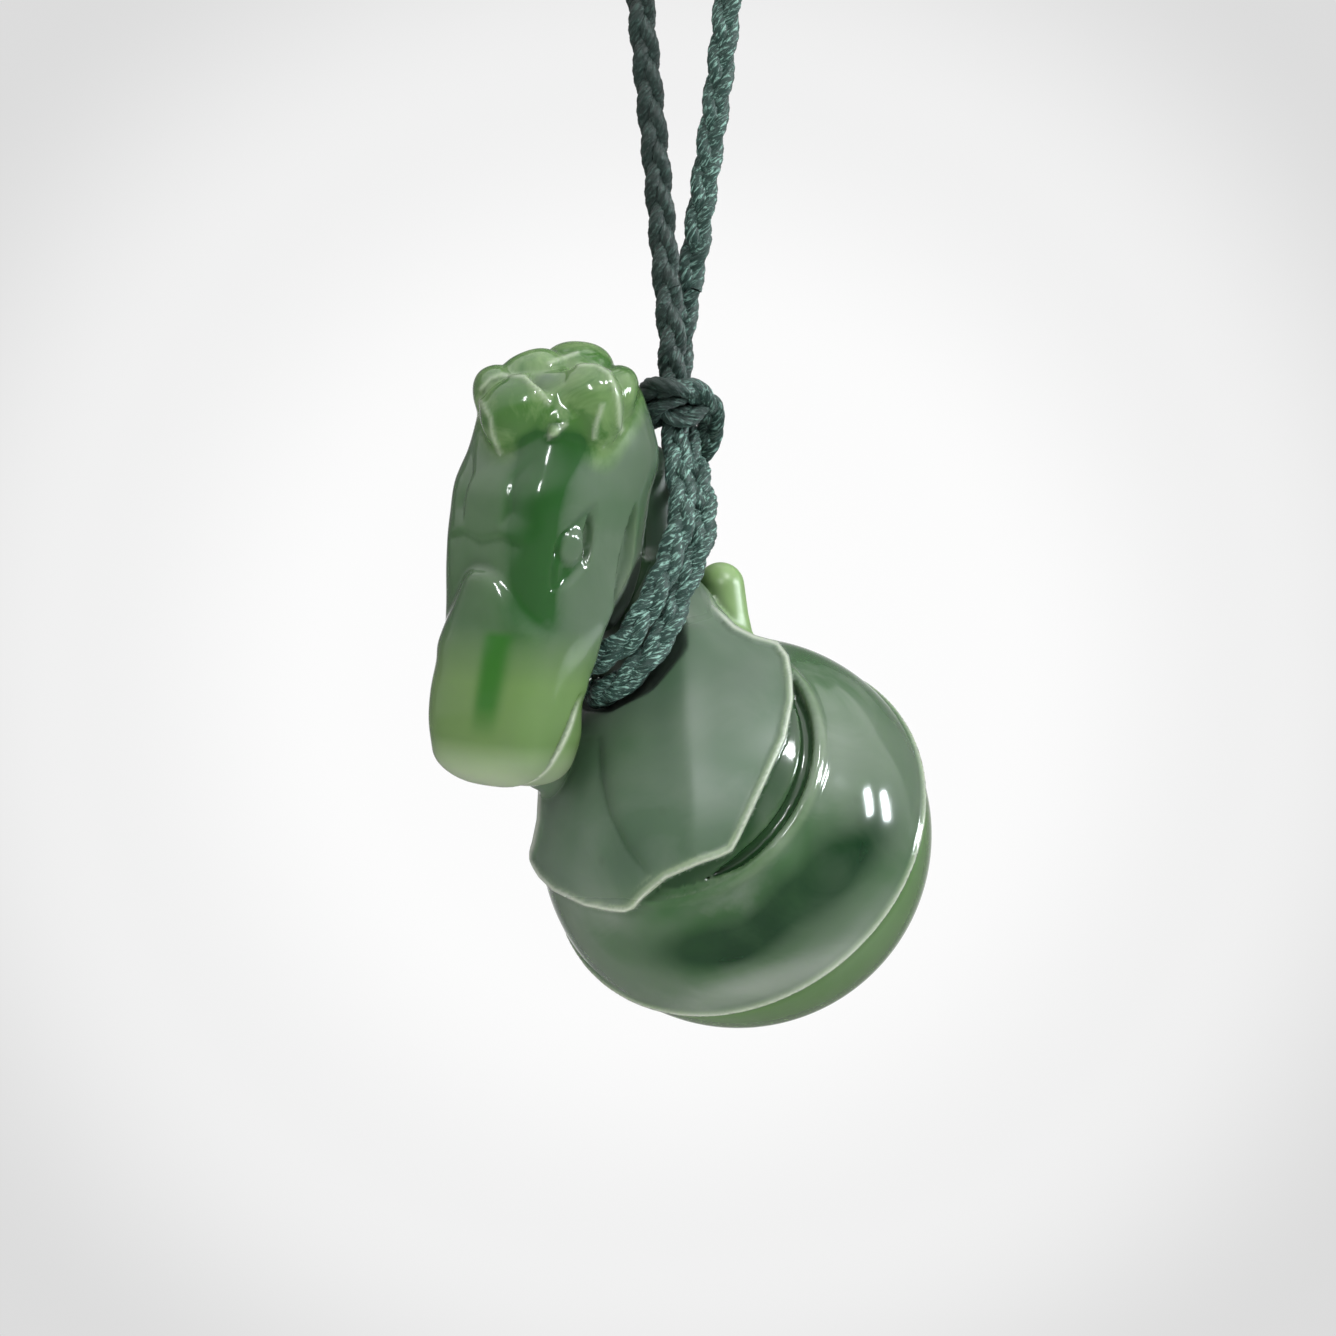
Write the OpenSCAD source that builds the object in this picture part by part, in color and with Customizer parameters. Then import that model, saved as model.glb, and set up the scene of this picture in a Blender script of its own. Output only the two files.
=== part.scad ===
// A carved jade pendant on a plaited cord. Millimetres, +Z up.
// The origin is the inside of the cord's top bend, where a peg or a hook bears.
// -Y is the side that the carving shows to the viewer.

/* [Cord] */
// Diameter of the plaited cord
cord_d = 1.9; // [1.4:0.1:2.2]

/* [Shell] */
// Radius of the round shell at its rim
shell_r = 12.45; // [10:0.05:15]
// Height of the back dome above the rim plane
shell_back_h = 12.1; // [9:0.1:14]
// Step from the rim down to the back dome
rim_step = 0.3; // [0.1:0.05:0.6]
// Radius of the round opening that the breast comes out of
opening_r = 8.7; // [7.5:0.1:10]
// Depth of the groove round the breast, inside the opening
opening_depth = 1.6; // [0.8:0.1:2.5]

/* [Breast] */
// Thickness of the scalloped collar
collar_t = 1.1; // [0.6:0.1:2]
// Radius of the neck
neck_r = 2.9; // [2.2:0.1:3.4]
// Play of the doubled cord in the hole under the throat
throat_play = 0.35; // [0.2:0.05:0.7]

/* [Head] */
// Half of the head's width
head_half_w = 4.6; // [3.8:0.1:5.2]
// Half of the bill's width
bill_half_w = 4.2; // [3.4:0.1:4.8]
// Depth of the mouth line
mouth_cut = 0.35; // [0.2:0.05:0.6]
// Size of a crest leaf
leaf_r = 2.2; // [1.6:0.1:2.6]

/* [Hidden] */
cord_sides = 8;
jade_fn = 36;

// Places of the head and of the throat hole
head_c = [-8.7, -6, -51.5];
throat_c = [-6, 0, -61.5];

// Radius of the hole under the throat: the cord passes through it twice
throat_r = cord_d + throat_play;

// The shell hangs from the throat: which way, and how much stone is between them
shell_way = [0.684, 0.182, -0.706];
throat_wall = 1.3;
shell_c = throat_c + (shell_r + throat_wall) * shell_way;

// Shell axis: from the back dome out through the opening
shell_z = [-0.394, -0.788, 0.474];
shell_x = [0.919, -0.338, 0.203];
shell_y = [0, 0.516, 0.857];

// Head axes: to its left cheek, forward out of the face, and up to the crown
head_s = [0.759, -0.643, -0.107];
head_f = [-0.647, -0.762, -0.015];
head_u = [0.072, -0.080, 0.994];

// Head slices from the crown down: height, forward shift, half width as a share of the
// head's, half depth, corner radius
head_slices = [
    [8.6, -1.0, 0.80, 3.6, 2.4],
    [7.0, -1.1, 0.92, 4.8, 2.6],
    [5.0, -1.0, 0.98, 5.6, 2.6],
    [2.5, -0.8, 1.00, 6.3, 2.6],
    [-2.5, 0.0, 1.00, 6.0, 2.6],
    [-5.0, 0.4, 0.97, 5.2, 2.6],
    [-7.6, 1.6, 0.90, 4.0, 2.4],
];
// Bill slices: height, forward shift, half width as a share of the bill's, half depth, corner
bill_slices = [
    [-3.6, 4.2, 0.40, 1.6, 1.4],
    [-7.6, 2.6, 0.90, 3.6, 2.0],
    [-10.2, 2.7, 1.00, 3.8, 2.0],
    [-13.2, 2.5, 1.00, 3.7, 2.0],
    [-15.2, 2.0, 0.92, 3.1, 1.9],
    [-16.4, 1.9, 0.72, 2.2, 1.6],
];
slice_t = 0.2;

// Scalloped collar: direction round the shell's axis, and how far down the shell's side it
// reaches from that axis, both in degrees
collar_edge = [
    [0, 36], [15, 38], [32, 43], [50, 50], [65, 48], [85, 54], [110, 48], [140, 44], [170, 47],
    [182, 53], [189, 66], [200, 62], [215, 55], [240, 50], [255, 44], [270, 38], [284, 37],
    [300, 40], [312, 37], [330, 34], [345, 34],
];

// Direction round the shell's axis in which the opening shows past the collar
bare_side = -30;

// Flared mouths of the throat hole: how far out they start, their length and their flare
mouth_start = 1.8;
mouth_h = 5;
mouth_flare = 4.2;

// Crest leaves: toward the left cheek, forward, and size as a share of leaf_r
crest_leaves = [[-1.9, 1.9, 1.0], [2.9, 0.9, 1.0], [3.0, -2.3, 0.9], [-0.4, -3.2, 0.95], [-3.4, -0.9, 0.9]];
crest_h = 8.6;

// Route of the loop: up the left leg, round the bend and down the right leg
bend_r = 4.4;
bend_c = [0, 0, cord_d / 2 - bend_r];
bend_points = [for (a = [186:-24:-6]) bend_c + bend_r * [cos(a), 0, sin(a)]];
left_leg = [[-1.35, -0.3, -33.5], [-1.75, -0.2, -29], [-2.25, 0, -24], [-2.8, 0, -18.5], [-3.35, 0, -13], [-3.95, 0, -8]];
right_leg = [[3.95, 0, -8], [3.35, 0, -13], [2.8, 0, -18.5], [2.2, 0, -24], [1.5, 0.2, -29], [0.85, 0.3, -33.5]];
loop_route = concat(left_leg, bend_points, right_leg);

// The two legs side by side, above the knot
pair_left = [[-1.3, -0.4, -34.1], [-1.05, -0.75, -37], [-0.75, -1.0, -40.3]];
pair_right = [[0.8, 0.4, -34.1], [0.25, 0.8, -37], [-0.25, 1.0, -40.3]];

// The hitch: down the near side, through the throat, up the far side, round both legs,
// and back the same way
hitch_route = [
    [-0.75, -1.0, -41.2], [-0.7, -1.0, -43.5], [-0.55, -1.6, -46.2], [-0.3, -3.2, -48.6],
    [-0.1, -4.6, -51], [-0.9, -5.5, -54], [-2.3, -6.1, -57], [-3.7, -6.0, -59.1],
    [-5.5, -4.9, -60.3], [-6.4, -2.8, -60.7], [-6.5, 0, -60.7], [-6.4, 2.6, -60.6],
    [-5.6, 4.6, -59.9], [-4.4, 5.3, -58], [-3.4, 5.1, -55.2], [-3.0, 4.8, -51.8],
    [-2.9, 4.1, -48.6], [-3.0, 2.6, -46], [-2.95, 0.5, -44.6], [-2.65, -1.5, -43.8],
    [-1.4, -3.0, -43.3], [0.2, -2.75, -43.4], [1.15, -1.5, -43.9], [1.6, 0.1, -44.7],
    [1.6, 1.9, -46.0], [0.5, 3.8, -48.3], [-0.2, 4.9, -51.6], [-0.9, 5.4, -55.0],
    [-2.2, 5.7, -58.2], [-3.7, 5.5, -60.5], [-4.9, 4.2, -61.9], [-5.5, 2.2, -62.3],
    [-5.6, 0, -62.4], [-5.5, -2.2, -62.4], [-4.6, -4.2, -62.1], [-3.0, -5.4, -60.9],
    [-1.2, -5.3, -58.6], [-0.3, -4.6, -56.2], [0.7, -4.3, -53.8], [1.25, -3.5, -51.6],
    [0.9, -1.8, -49.0], [0.2, 0.1, -46.8], [-0.3, 0.95, -43.9], [-0.3, 1.0, -41.2],
];

function unit(v) = v / norm(v);

// Direction of the route at point i
function heading(p, i) =
    unit(p[min(i + 1, len(p) - 1)] - p[max(i - 1, 0)]);

// Sideways direction at point i, carried along from the one before so the tube doesn't twist
function carried(p, i, side) =
    let (h = heading(p, i)) unit(side - (side * h) * h);

function sides_along(p, i = 0, side = [0, 1, 0.1], found = []) =
    i == len(p) ? found :
    let (s = carried(p, i, side)) sides_along(p, i + 1, s, concat(found, [s]));

module tube(p, d) {
    n = cord_sides;
    side = sides_along(p);
    rings = [
        for (i = [0:len(p) - 1])
            let (s = side[i], t = cross(heading(p, i), s))
                for (k = [0:n - 1])
                    p[i] + d / 2 * (cos(360 * k / n) * s + sin(360 * k / n) * t)
    ];
    walls = [
        for (i = [0:len(p) - 2], k = [0:n - 1])
            let (m = (k + 1) % n) [i * n + k, (i + 1) * n + k, (i + 1) * n + m, i * n + m]
    ];
    start = [[for (k = [0:n - 1]) k]];
    end = [[for (k = [n - 1:-1:0]) (len(p) - 1) * n + k]];
    polyhedron(points = rings, faces = concat(walls, start, end), convexity = 8);
}

module along(x, y, z, c) {
    multmatrix([[x[0], y[0], z[0], c[0]], [x[1], y[1], z[1], c[1]], [x[2], y[2], z[2], c[2]]])
        children();
}

module in_shell() { along(shell_x, shell_y, shell_z, shell_c) children(); }
module in_head() { along(head_s, head_f, head_u, head_c) children(); }

module rounded_slice(half_x, half_y, corner) {
    linear_extrude(slice_t, center = true)
        offset(corner, $fn = 20)
            square([2 * (half_x - corner), 2 * (half_y - corner)], center = true);
}

// Smooth mass through neighbouring slices
module slices(list, half_w) {
    for (i = [0:len(list) - 2])
        hull()
            for (s = [list[i], list[i + 1]])
                translate([0, s[1], s[0]])
                    rounded_slice(s[2] * half_w, s[3], min(s[4], 0.9 * s[2] * half_w, 0.9 * s[3]));
}

module shell() {
    difference() {
        union() {
            intersection() {
                sphere(shell_r, $fn = 64);
                translate([0, 0, shell_r]) cube(2 * shell_r, center = true);
            }
            scale([1, 1, shell_back_h / (shell_r - rim_step)])
                sphere(shell_r - rim_step, $fn = 64);
        }
        // the groove inside the opening, where the collar leaves it bare
        intersection() {
            translate([0, 0, sqrt(shell_r * shell_r - opening_r * opening_r) - opening_depth])
                cylinder(h = shell_r, r = opening_r, $fn = 48);
            rotate([0, 0, bare_side])
                translate([shell_r + 2.5, 0, shell_r]) cube(2 * shell_r, center = true);
        }
    }
    // the breast inside the opening
    scale([1, 1, 1.28]) sphere(opening_r - 0.7, $fn = 48);
}

module collar() {
    outer_r = shell_r + collar_t;
    intersection() {
        difference() {
            sphere(outer_r, $fn = 64);
            translate([0, 0, -4]) sphere(shell_r - 0.2, $fn = 48);
            translate([0, 0, -outer_r + 4]) cube(2 * outer_r, center = true);
        }
        linear_extrude(outer_r + 1)
            polygon([for (e = collar_edge) outer_r * sin(e[1]) * [cos(e[0]), sin(e[0])]]);
    }
}

module neck() {
    hull() {
        translate([-3.2, 0.2, -50]) sphere(neck_r, $fn = 28);
        translate([-2.4, 0.2, -57]) sphere(neck_r + 0.2, $fn = 28);
    }
    hull() {
        translate([-2.4, 0.2, -57]) sphere(neck_r + 0.2, $fn = 28);
        translate([0.9, 0.2, -63]) sphere(neck_r + 1.4, $fn = 28);
    }
}

// Stone that closes the throat hole, from the jaw down to the collar
module chin_rest() {
    hull() {
        translate([-9.4, -2.6, -60.4]) sphere(1.7, $fn = 20);
        translate([-8.6, -2.4, -66.5]) sphere(1.9, $fn = 20);
    }
}

module back_lobe() {
    hull() {
        translate([2.75, 3.2, -55.2]) scale([1.1, 0.9, 1.1]) sphere(1, $fn = 20);
        translate([2.95, 3.4, -60.5]) scale([1.5, 1.4, 1]) sphere(1, $fn = 20);
    }
}

module head() {
    difference() {
        union() {
            slices(head_slices, head_half_w);
            slices(bill_slices, bill_half_w);
            eye();
            mirror([1, 0, 0]) eye();
        }
        mouth_line();
    }
}

module eye() {
    translate([head_half_w - 0.35, 2.7, -1.7]) scale([0.6, 0.8, 1.05]) sphere(1, $fn = 20);
}

// The line between the upper and the lower bill, round both sides and the tip
module mouth_line() {
    difference() {
        translate([0, 0.55, -13.6]) rotate([12, 0, 0]) cube([12, mouth_cut, 8], center = true);
        translate([0, 0.55, -12.4])
            cube([2 * (bill_half_w - mouth_cut), 4, 6.6], center = true);
    }
}

module crest() {
    translate([0, -0.6, crest_h]) rotate([-24, 0, 0]) difference() {
        union() {
            for (leaf = crest_leaves)
                translate([leaf[0], leaf[1], 0])
                    scale([1, 1, 0.85]) sphere(leaf_r * leaf[2], $fn = 24);
            translate([0, 0, -1.4]) scale([1.5, 1.5, 1]) sphere(leaf_r, $fn = 24);
        }
        translate([0.2, 0, 1.6]) sphere(1.5, $fn = 20);
    }
}

// The cord's way through, with a flared mouth on each side
module throat_hole() {
    translate(throat_c) rotate([90, 0, 0]) {
        cylinder(h = 14, r = throat_r, center = true, $fn = 32);
        for (end = [0, 1])
            mirror([0, 0, end]) translate([0, 0, mouth_start])
                cylinder(h = mouth_h, r1 = throat_r, r2 = throat_r + mouth_flare, $fn = 32);
    }
}

module neck_loop() { color("#26332f") tube(loop_route, cord_d); }

module leg_pair() {
    color("#2d3f3a") {
        tube(pair_left, cord_d);
        tube(pair_right, cord_d);
    }
}

module hitch_cord() { color("#3b5750") tube(hitch_route, cord_d); }

module jade_carving() {
    color("#6c8e62") difference() {
        union() {
            in_shell() {
                shell();
                collar();
            }
            neck();
            chin_rest();
            back_lobe();
            in_head() {
                head();
                crest();
            }
        }
        throat_hole();
    }
}

neck_loop();
leg_pair();
hitch_cord();
jade_carving();
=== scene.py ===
"""A carved jade pendant hitched on a plaited cord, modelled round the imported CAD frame.

The stone is one solid field of distances, in millimetres, that is meshed and then carried into the
frame in metres. The cord is three twisted strands plaited along the CAD cord's own route."""

from math import cos, pi, radians, sin, sqrt

import bpy
import numpy as np
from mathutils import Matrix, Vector


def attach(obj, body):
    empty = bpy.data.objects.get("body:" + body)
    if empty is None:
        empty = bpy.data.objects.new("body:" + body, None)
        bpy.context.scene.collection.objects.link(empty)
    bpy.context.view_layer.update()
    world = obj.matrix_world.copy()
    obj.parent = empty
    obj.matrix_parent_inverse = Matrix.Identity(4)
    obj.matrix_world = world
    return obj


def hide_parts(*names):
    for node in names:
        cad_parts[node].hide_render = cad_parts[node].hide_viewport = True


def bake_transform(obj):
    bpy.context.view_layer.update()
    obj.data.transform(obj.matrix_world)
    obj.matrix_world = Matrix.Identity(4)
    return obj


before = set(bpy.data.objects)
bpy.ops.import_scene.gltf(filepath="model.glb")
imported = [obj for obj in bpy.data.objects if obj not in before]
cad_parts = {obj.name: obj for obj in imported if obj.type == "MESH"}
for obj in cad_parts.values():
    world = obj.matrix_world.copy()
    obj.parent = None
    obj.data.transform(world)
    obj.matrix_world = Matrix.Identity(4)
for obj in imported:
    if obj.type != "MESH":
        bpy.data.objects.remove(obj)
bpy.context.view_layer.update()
MM = 0.001
V = np.array


def placed(name, data):
    """A new object in the scene that holds the given data."""
    made = bpy.data.objects.new(name, data)
    bpy.context.collection.objects.link(made)
    return made


def set_marks(mesh, marks):
    """One number at each vertex under each label, for the materials to read."""
    for label, values in marks.items():
        mesh.attributes.new(label, "FLOAT", "POINT").data.foreach_set("value", values.astype(np.float32))


# ---------------------------------------------------------------- camera

CAMERA_AT = (-1.0, -600.0, -60.75)      # mm
VIEW_WIDTH = 83.5                       # mm across the picture, at the object
SENSOR = 36.0


def add_camera():
    data = bpy.data.cameras.new("view_camera")
    data.sensor_width = SENSOR
    data.lens = SENSOR * -CAMERA_AT[1] / VIEW_WIDTH
    data.clip_start, data.clip_end = 0.01, 20
    camera = placed("view_camera", data)
    camera.location = [x * MM for x in CAMERA_AT]
    camera.rotation_euler = (radians(90), 0, 0)
    bpy.context.scene.camera = camera


# ---------------------------------------------------------------- shader helpers


class Shader:
    """A short way to write a node tree."""

    def __init__(self, name, world=None):
        if world:
            world.use_nodes = True
            self.material, self.tree = world, world.node_tree
        else:
            self.material = bpy.data.materials.new(name)
            self.material.use_nodes = True
            self.tree = self.material.node_tree
        self.tree.nodes.clear()

    def node(self, kind, values=None, **settings):
        made = self.tree.nodes.new(kind)
        for key, value in settings.items():
            setattr(made, key, value)
        for key, value in (values or {}).items():
            socket = made.inputs[key]
            if isinstance(value, bpy.types.NodeSocket):
                self.tree.links.new(value, socket)
            else:
                socket.default_value = value
        return made

    def math(self, operation, a, b=0.0, clamp=False):
        return self.node("ShaderNodeMath", {0: a, 1: b}, operation=operation, use_clamp=clamp).outputs[0]

    def times(self, a, b, clamp=False):
        return self.math("MULTIPLY", a, b, clamp)

    def above(self, value, floor, gain):
        """0 up to the floor, then rising by the gain to 1."""
        return self.times(self.math("SUBTRACT", value, floor, True), gain, True)

    def ramp(self, factor, stops):
        made = self.node("ShaderNodeValToRGB", {"Fac": factor})
        made.color_ramp.interpolation = "EASE"
        points = made.color_ramp.elements
        while len(points) < len(stops):
            points.new(0.5)
        for point, (place, colour) in zip(points, stops):
            point.position, point.color = place, (*colour, 1)
        return made.outputs["Color"]

    def mix(self, factor, a, b, blend="MIX"):
        made = self.node("ShaderNodeMix", data_type="RGBA", blend_type=blend)
        for socket, value in ((made.inputs[0], factor), (made.inputs[6], a), (made.inputs[7], b)):
            if isinstance(value, bpy.types.NodeSocket):
                self.tree.links.new(value, socket)
            else:
                socket.default_value = (*value, 1) if isinstance(value, tuple) else value
        return made.outputs[2]

    def noise(self, place, scale, detail=3.0, roughness=0.5, distortion=0.0):
        made = self.node("ShaderNodeTexNoise", {"Vector": place, "Scale": scale, "Detail": detail,
                                                "Roughness": roughness, "Distortion": distortion})
        return made.outputs["Fac"]

    def attribute(self, name):
        return self.node("ShaderNodeAttribute", attribute_name=name).outputs["Fac"]

    def zone(self, body, name, amount, colour):
        """The body's colour, changed where the mark of that name says so."""
        return self.mix(self.times(self.attribute(name), amount), body, colour)

    def object_place(self):
        return self.node("ShaderNodeTexCoord").outputs["Object"]

    def surface(self, shader):
        self.node("ShaderNodeOutputMaterial", {"Surface": shader})
        return self.material


# ---------------------------------------------------------------- the cord

CORD_D = 1.9            # across the plait, as in CAD
PLAIT_PERIOD = 7.8      # one strand's way from one side and back
STRAND_SWING = 0.44     # how far a strand's middle goes to each side
STRAND_DIP = 0.25       # and how far to the front and back
STRAND_R = 0.49
STRAND_FLAT = 0.92      # a strand's depth as a share of its width
THREADS = 5             # twisted threads that show round a strand
THREAD_TURN = 3.2       # length of one twist of the threads
THREAD_DIP, THREAD_RISE = 0.86, 0.17    # a strand's radius between its threads, and how far they stand out
RING_STEP = 0.2
RIM = THREADS * 4       # points round a strand
ROUND = np.linspace(0, 2 * pi, RIM, endpoint=False)

LEFT_LEG = [(-1.35, -0.3, -33.5), (-1.75, -0.2, -29), (-2.25, 0, -24), (-2.8, 0, -18.5), (-3.35, 0, -13),
            (-3.95, 0, -8)]
RIGHT_LEG = [(3.95, 0, -8), (3.35, 0, -13), (2.8, 0, -18.5), (2.2, 0, -24), (1.5, 0.2, -29),
             (0.85, 0.3, -33.5)]
BEND_R = 4.4
BEND = [(BEND_R * cos(radians(a)), 0, CORD_D / 2 - BEND_R + BEND_R * sin(radians(a)))
        for a in range(186, -25, -6)]
PAIR_LEFT = [(-1.3, -0.4, -34.1), (-1.05, -0.75, -37), (-0.75, -1.0, -40.3)]
PAIR_RIGHT = [(0.8, 0.4, -34.1), (0.25, 0.8, -37), (-0.25, 1.0, -40.3)]
HITCH = [
    (-0.75, -1.0, -41.2), (-0.7, -1.0, -43.5), (-0.55, -1.6, -46.2), (-0.3, -3.2, -48.6),
    (-0.1, -4.6, -51), (-0.9, -5.5, -54), (-2.3, -6.1, -57), (-3.7, -6.0, -59.1),
    (-5.5, -4.9, -60.3), (-6.4, -2.8, -60.7), (-6.5, 0, -60.7), (-6.4, 2.6, -60.6),
    (-5.6, 4.6, -59.9), (-4.4, 5.3, -58), (-3.4, 5.1, -55.2), (-3.0, 4.8, -51.8),
    (-2.9, 4.1, -48.6), (-3.0, 2.6, -46), (-2.95, 0.5, -44.6), (-2.65, -1.5, -43.8),
    (-1.4, -3.0, -43.3), (0.2, -2.75, -43.4), (1.15, -1.5, -43.9), (1.6, 0.1, -44.7),
    (1.6, 1.9, -46.0), (0.5, 3.8, -48.3), (-0.2, 4.9, -51.6), (-0.9, 5.4, -55.0),
    (-2.2, 5.7, -58.2), (-3.7, 5.5, -60.5), (-4.9, 4.2, -61.9), (-5.5, 2.2, -62.3),
    (-5.6, 0, -62.4), (-5.5, -2.2, -62.4), (-4.6, -4.2, -62.1), (-3.0, -5.4, -60.9),
    (-1.2, -5.3, -58.6), (-0.3, -4.6, -56.2), (0.7, -4.3, -53.8), (1.25, -3.5, -51.6),
    (0.9, -1.8, -49.0), (0.2, 0.1, -46.8), (-0.3, 0.95, -43.9), (-0.3, 1.0, -41.2)]


def even_curve(points, before, after, step=RING_STEP):
    """Points a step apart on a smooth curve through the given ones, on from `before` and to `after`."""
    p = V(points, float)
    padded = np.vstack([before, p, after])
    t = np.linspace(0, 1, 24, endpoint=False)[:, None]
    dense = []
    for a, b, c, d in zip(padded, padded[1:], padded[2:], padded[3:]):
        dense.append(0.5 * (2 * b + (c - a) * t + (2 * a - 5 * b + 4 * c - d) * t ** 2
                            + (3 * b - a - 3 * c + d) * t ** 3))
    dense = np.vstack(dense + [p[-1:]])
    along = np.concatenate([[0], np.cumsum(np.linalg.norm(np.diff(dense, axis=0), axis=1))])
    places = np.linspace(0, along[-1], int(round(along[-1] / step)) + 1)
    return V([np.interp(places, along, dense[:, i]) for i in range(3)]).T, along[-1]


def unit(v):
    return v / np.linalg.norm(v, axis=-1, keepdims=True)


def carried_sides(line, first):
    """A direction across the line at each point, carried along it without twisting."""
    tangent = unit(np.gradient(line, axis=0))
    side = np.empty_like(line)
    now = V(first, float)
    for i, t in enumerate(tangent):
        now = now - t * (now @ t)
        now = now / np.linalg.norm(now)
        side[i] = now
    return tangent, side


def strand_rings(line, side, tangent, turn, spin, squeeze):
    """Rings of points round one strand, with its place in the plait and the twist of its threads."""
    across = np.cross(tangent, side)
    middle = line + (squeeze * STRAND_SWING * np.sin(turn))[:, None] * side \
        + (squeeze * STRAND_DIP * np.sin(2 * turn))[:, None] * across
    heading = unit(np.gradient(middle, axis=0))
    out = unit(side - heading * np.sum(side * heading, axis=1, keepdims=True))
    up = np.cross(heading, out)
    angle = ROUND[None, :] + spin[:, None]
    radius = squeeze * STRAND_R * (THREAD_DIP + THREAD_RISE * np.abs(np.cos(THREADS * 0.5 * ROUND)))
    rings = middle[:, None, :] + (radius * np.cos(angle))[..., None] * out[:, None, :] \
        + (STRAND_FLAT * radius * np.sin(angle))[..., None] * up[:, None, :]
    return rings.reshape(-1, 3)


def tube_faces(rings, base):
    """Quads round a tube of rings of points, and its two end caps."""
    i, j = np.meshgrid(np.arange(rings - 1), np.arange(RIM), indexing="ij")
    m = (j + 1) % RIM
    quads = np.stack([i * RIM + j, i * RIM + m, (i + 1) * RIM + m, (i + 1) * RIM + j], -1)
    faces = (quads.reshape(-1, 4) + base).tolist()
    faces.append([base + q for q in range(RIM - 1, -1, -1)])
    faces.append([base + (rings - 1) * RIM + q for q in range(RIM)])
    return faces


def plaited_mesh(name, line, side, tangent, tint, start=0.0, period=PLAIT_PERIOD, twist=THREAD_TURN,
                 squeeze=1.0):
    """Three strands of twisted threads plaited along a line that begins `start` along its run."""
    along = start + np.concatenate([[0], np.cumsum(np.linalg.norm(np.diff(line, axis=0), axis=1))])
    n = len(line)
    verts, faces = [], []
    for k in range(3):
        turn = 2 * pi * along / period + 2 * pi * k / 3
        verts.append(strand_rings(line, side, tangent, turn, 2 * pi * along / twist, squeeze))
        faces += tube_faces(n, k * n * RIM)
    mesh = bpy.data.meshes.new(name)
    mesh.from_pydata((np.vstack(verts) * MM).tolist(), [], faces)
    set_marks(mesh, {"tint": np.tile(np.repeat(tint, RIM), 3), "run": np.tile(np.repeat(along, RIM), 3),
                     "girth": np.tile(ROUND / (2 * pi), 3 * n)})
    mesh.shade_smooth()
    mesh.set_sharp_from_angle(angle=radians(60))
    return placed(name, mesh)


# The cord's colours: dark for the painted shade on the left leg, light where the cord is lit, and a painted
# highlight for glints on the fibres.
CORD_DARK = (0.0055, 0.0085, 0.0075)
CORD_LIGHT = (0.020, 0.060, 0.048)
CORD_GLINT = (0.22, 0.39, 0.33)      # where light catches the fibres


def cord_material():
    s = Shader("waxed_thread")
    place = s.object_place()
    run, girth, tint = s.attribute("run"), s.attribute("girth"), s.attribute("tint")
    # fine fibres lie along the threads
    fibre_place = s.node("ShaderNodeCombineXYZ", {"X": s.times(run, 1.5), "Y": s.times(girth, 9.0),
                                                  "Z": 0.0}).outputs[0]
    fibre = s.noise(fibre_place, 1.6, 3, 0.7, 0.6)
    blotch = s.noise(place, 900, 3, 0.6)
    # painted highlight: glints on the fibres, more where the tint is lighter
    painted_glint = s.times(s.above(fibre, 0.52, 9.0), s.math("ADD", s.times(tint, 2.2), 0.05), True)
    # painted shade: the base colour darker where the tint is low, with random blotches over it
    base = s.mix(s.math("ADD", s.times(blotch, 0.35), tint, True), CORD_DARK, CORD_LIGHT)
    colour = s.mix(painted_glint, base, CORD_GLINT)
    bump = s.node("ShaderNodeBump", {"Height": fibre, "Strength": 0.8, "Distance": 0.00016}).outputs[0]
    rough = s.math("ADD", s.times(fibre, 0.25), 0.33)
    skin = s.node("ShaderNodeBsdfPrincipled", {"Base Color": colour, "Roughness": rough, "Normal": bump,
                                               "Sheen Weight": 0.06, "Sheen Roughness": 0.45,
                                               "Specular IOR Level": 0.45})
    return s.surface(skin.outputs[0])


KNOT_C = (-0.8, -0.9, -44.5)
KNOT_R, KNOT_IN_OUT, KNOT_HALF = 1.35, 0.35, 0.75     # radius, how much it comes and goes, half height
KNOT_PLAIT = 0.8                    # how hard the plait is squeezed in the knot
KNOT_TINT = 0.14


def add_knot(thread):
    """The rest of the knot's turns, drawn up tight round both legs."""
    a = np.linspace(0, 4 * pi, 161)
    r = KNOT_R + KNOT_IN_OUT * np.cos(1.5 * a)
    line = V([KNOT_C[0] + 1.12 * r * np.cos(a), KNOT_C[1] + r * np.sin(a),
              KNOT_C[2] + KNOT_HALF * np.sin(1.5 * a) + 0.25 * np.cos(a)]).T
    tangent, side = carried_sides(line, (0, 0, 1))
    knot = plaited_mesh("knot_wraps", line, side, tangent, np.full(len(line), KNOT_TINT), squeeze=KNOT_PLAIT)
    knot.data.materials.append(thread)
    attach(knot, "hitch")
    return knot


def painted_light_tint(line):
    """Painted light along the cord: dark on the left leg, in painted shade, and on the knot; lighter
    elsewhere, with more painted glints.
    """
    leg = 0.03 + 0.34 / (1 + np.exp(-(line[:, 0] + 0.2) / 0.45))
    turns = 0.42
    low = np.clip((-44.5 - line[:, 2]) / 3, 0, 1)
    knot = np.exp(-((line[:, 2] + 44.3) / 1.5) ** 2) * 0.1
    return np.clip(leg * (1 - low) + turns * low - knot, 0.02, 1)


def closed_sides(tangent, side, first):
    """The sides of a line whose end meets `first`, with what is left of a turn spread along it."""
    end = side[-1]
    left_over = np.arctan2(np.cross(end, first) @ tangent[-1], end @ first)
    share = np.linspace(0, left_over, len(side))[:, None]
    return side * np.cos(share) + np.cross(tangent, side) * np.sin(share)


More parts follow.
